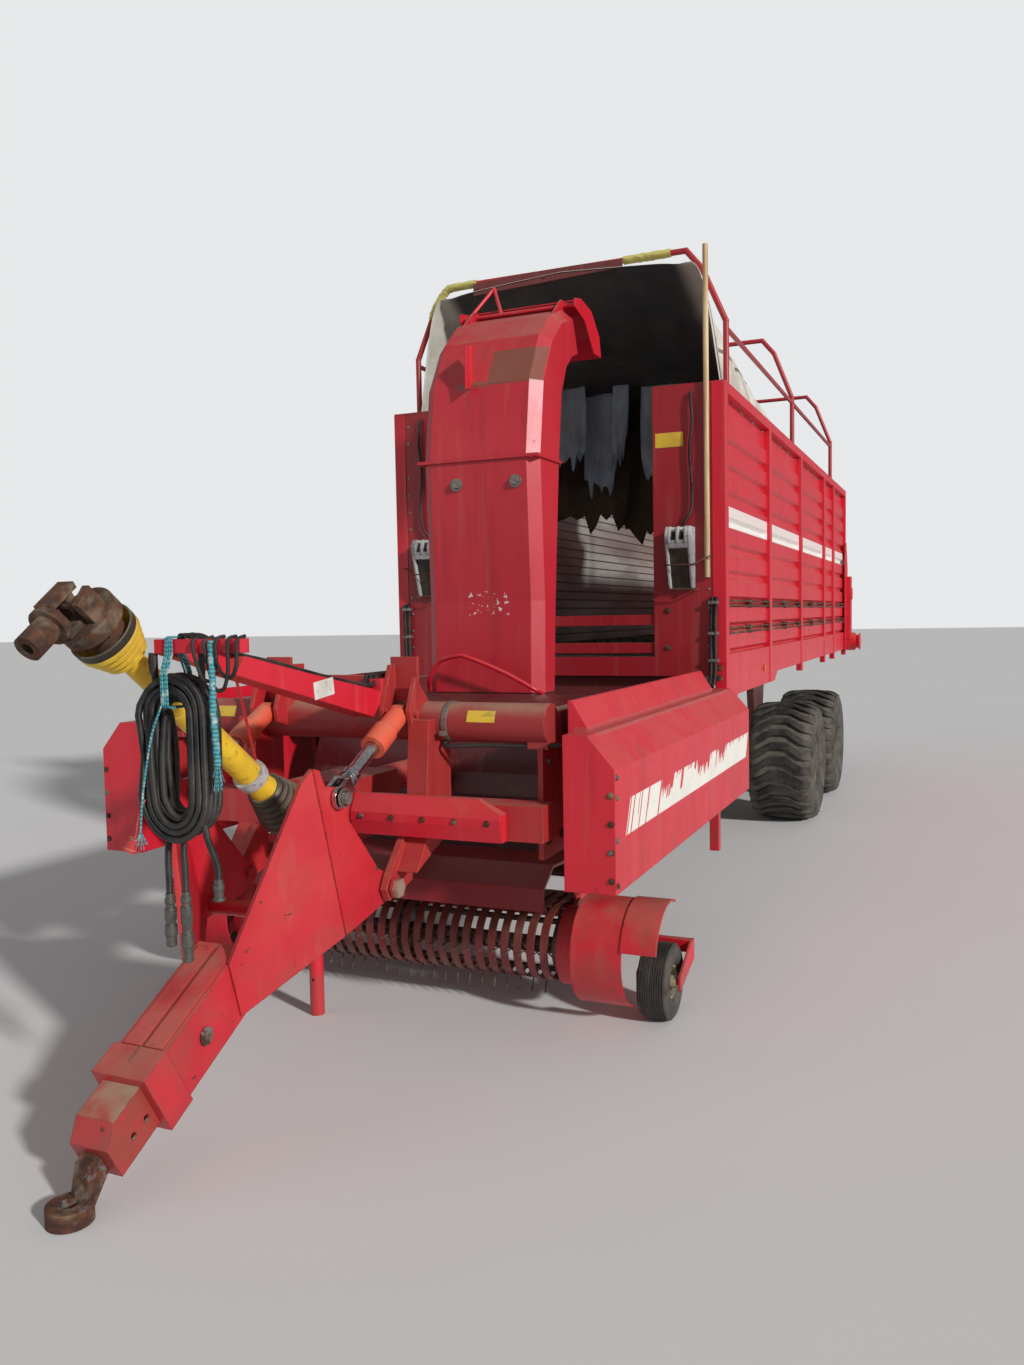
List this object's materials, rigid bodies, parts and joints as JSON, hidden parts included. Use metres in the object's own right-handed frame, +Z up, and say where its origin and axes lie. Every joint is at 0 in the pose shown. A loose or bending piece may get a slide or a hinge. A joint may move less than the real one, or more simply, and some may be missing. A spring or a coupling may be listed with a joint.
{
  "type": "trailed forage harvester wagon",
  "caption": "Trailed forage wagon with pick-up, chopper, spout, ribbed high body, tarpaulin roof, tandem wheels and a liftable drawbar.",
  "frame": {"origin": "on the ground, at the middle of the machine's length and width", "axes": "+X forward to the hitch eye, +Y to the machine's left, +Z up"},
  "size_m": [9.943, 2.42, 3.768],
  "materials": {
    "paint": "gloss red machine paint, scratched and faded",
    "dark_paint": "dull dark red paint",
    "worn_paint": "worn orange-red paint with rust at the edges",
    "axle_paint": "black paint, dusty",
    "rusty_steel": "rusty forged steel",
    "tine_steel": "bare steel with light rust",
    "chrome_rod": "hard chrome rod, forged grey end",
    "guard_plastic": "yellow guard plastic, scuffed",
    "grey_plastic": "grey moulded plastic",
    "floor_boards": "dark weathered boards with steel slats",
    "pole_wood": "pale painted wooden pole",
    "tarpaulin": "grey-white coated tarpaulin, soiled",
    "hose_rubber": "black hose rubber",
    "twine": "frayed blue plastic twine",
    "tyre_rubber": "black tyre rubber with dried mud",
    "rim_paint": "pale grey rim paint"
  },
  "bodies": {
    "chassis": {"chassis": "paint", "front_frame": "worn_paint", "beam_cover": "paint", "axles": "axle_paint", "bogies": "worn_paint", "chopper_housing": "dark_paint", "spout": "paint", "side_guard_left": "paint", "side_guard_right": "paint", "gearbox": "worn_paint", "hose_arm": "paint", "shaft_guard": "guard_plastic", "load_floor": "floor_boards", "side_left": "paint", "side_right": "paint", "front_wall": "dark_paint", "rear_frame": "dark_paint", "floor_drive": "axle_paint", "roof_hoops": "worn_paint", "tarpaulin": "tarpaulin", "pole": "pole_wood", "wheel_chocks": "grey_plastic", "hose_hank": "hose_rubber", "hank_tie": "twine", "hose_tail_1": "hose_rubber", "hose_tail_2": "hose_rubber", "hose_tail_3": "hose_rubber", "twine_end": "twine", "hose_couplers": "tine_steel"},
    "spout_flap": {"spout_flap": "paint"},
    "tailgate": {"tailgate": "paint"},
    "shaft_joint": {"shaft_joint": "rusty_steel"},
    "drawbar": {"drawbar": "paint", "drawbar_inner": "worn_paint", "hitch_eye": "rusty_steel"},
    "lift_barrel_left": {"lift_barrel_left": "worn_paint"},
    "lift_barrel_right": {"lift_barrel_right": "worn_paint"},
    "lift_rod_left": {"lift_rod_left": "chrome_rod"},
    "lift_rod_right": {"lift_rod_right": "chrome_rod"},
    "parking_stand": {"parking_stand": "paint"},
    "pickup": {"pickup_frame": "paint", "pickup_bands": "paint", "pickup_hood": "dark_paint"},
    "pickup_reel": {"pickup_reel": "tine_steel"},
    "gauge_wheel_left": {"gauge_tyre_left": "tyre_rubber", "gauge_rim_left": "rim_paint"},
    "gauge_wheel_right": {"gauge_tyre_right": "tyre_rubber", "gauge_rim_right": "rim_paint"},
    "wheel_front_left": {"tyre_front_left": "tyre_rubber", "rim_front_left": "rim_paint"},
    "wheel_front_right": {"tyre_front_right": "tyre_rubber", "rim_front_right": "rim_paint"},
    "wheel_rear_left": {"tyre_rear_left": "tyre_rubber", "rim_rear_left": "rim_paint"},
    "wheel_rear_right": {"tyre_rear_right": "tyre_rubber", "rim_rear_right": "rim_paint"}
  },
  "joints": [
    {"name": "drawbar_lift", "type": "hinge", "parent": "chassis", "child": "drawbar", "pos_m": [3.6975, 0, 0.667], "axis": [0, -1, 0], "range_deg": [0, 18]},
    {"name": "stand_slide", "type": "slide", "parent": "chassis", "child": "parking_stand", "axis": [0, 0, 1], "range_m": [0, 0.25]},
    {"name": "pickup_lift", "type": "hinge", "parent": "chassis", "child": "pickup", "pos_m": [2.3175, 0, 0.7], "axis": [0, -1, 0], "range_deg": [0, 8]},
    {"name": "reel_spin", "type": "hinge", "parent": "pickup", "child": "pickup_reel", "pos_m": [2.9675, 0, 0.285], "axis": [0, 1, 0], "continuous": true},
    {"name": "flap_swing", "type": "hinge", "parent": "chassis", "child": "spout_flap", "pos_m": [1.5975, 0, 3.29], "axis": [0, 1, 0], "range_deg": [-15, 35]},
    {"name": "tailgate_swing", "type": "hinge", "parent": "chassis", "child": "tailgate", "pos_m": [-4.9225, 0, 2.915], "axis": [0, 1, 0], "range_deg": [0, 85]},
    {"name": "shaft_spin", "type": "hinge", "parent": "chassis", "child": "shaft_joint", "pos_m": [3.8275, 0, 0.94], "axis": [0.788, 0, 0.6157], "continuous": true},
    {"name": "lift_left_swing", "type": "hinge", "parent": "chassis", "child": "lift_barrel_left", "pos_m": [3.5325, 0.3, 1.29], "axis": [0, -1, 0], "range_deg": [0, 1.4]},
    {"name": "lift_left_stroke", "type": "slide", "parent": "lift_barrel_left", "child": "lift_rod_left", "axis": [0.8847, 0, -0.4661], "range_m": [-0.1509, 0]},
    {"name": "gauge_left_spin", "type": "hinge", "parent": "pickup", "child": "gauge_wheel_left", "pos_m": [2.8975, 1.12, 0.155], "axis": [0, 1, 0], "continuous": true},
    {"name": "front_left_spin", "type": "hinge", "parent": "chassis", "child": "wheel_front_left", "pos_m": [-1.5325, 0.935, 0.465], "axis": [0, 1, 0], "continuous": true},
    {"name": "rear_left_spin", "type": "hinge", "parent": "chassis", "child": "wheel_rear_left", "pos_m": [-2.8625, 0.935, 0.465], "axis": [0, 1, 0], "continuous": true},
    {"name": "lift_right_swing", "type": "hinge", "parent": "chassis", "child": "lift_barrel_right", "pos_m": [3.5325, -0.3, 1.29], "axis": [0, -1, 0], "range_deg": [0, 1.4]},
    {"name": "lift_right_stroke", "type": "slide", "parent": "lift_barrel_right", "child": "lift_rod_right", "axis": [0.8847, 0, -0.4661], "range_m": [-0.1509, 0]},
    {"name": "gauge_right_spin", "type": "hinge", "parent": "pickup", "child": "gauge_wheel_right", "pos_m": [2.8975, -1.12, 0.155], "axis": [0, 1, 0], "continuous": true},
    {"name": "front_right_spin", "type": "hinge", "parent": "chassis", "child": "wheel_front_right", "pos_m": [-1.5325, -0.935, 0.465], "axis": [0, 1, 0], "continuous": true},
    {"name": "rear_right_spin", "type": "hinge", "parent": "chassis", "child": "wheel_rear_right", "pos_m": [-2.8625, -0.935, 0.465], "axis": [0, 1, 0], "continuous": true}
  ],
  "couplings": [
    {"joint": "lift_left_swing", "follows": "drawbar_lift", "ratio": 0.0764},
    {"joint": "lift_left_stroke", "follows": "drawbar_lift", "m_per_rad": -0.4798},
    {"joint": "lift_right_swing", "follows": "drawbar_lift", "ratio": 0.0764},
    {"joint": "lift_right_stroke", "follows": "drawbar_lift", "m_per_rad": -0.4798}
  ]
}
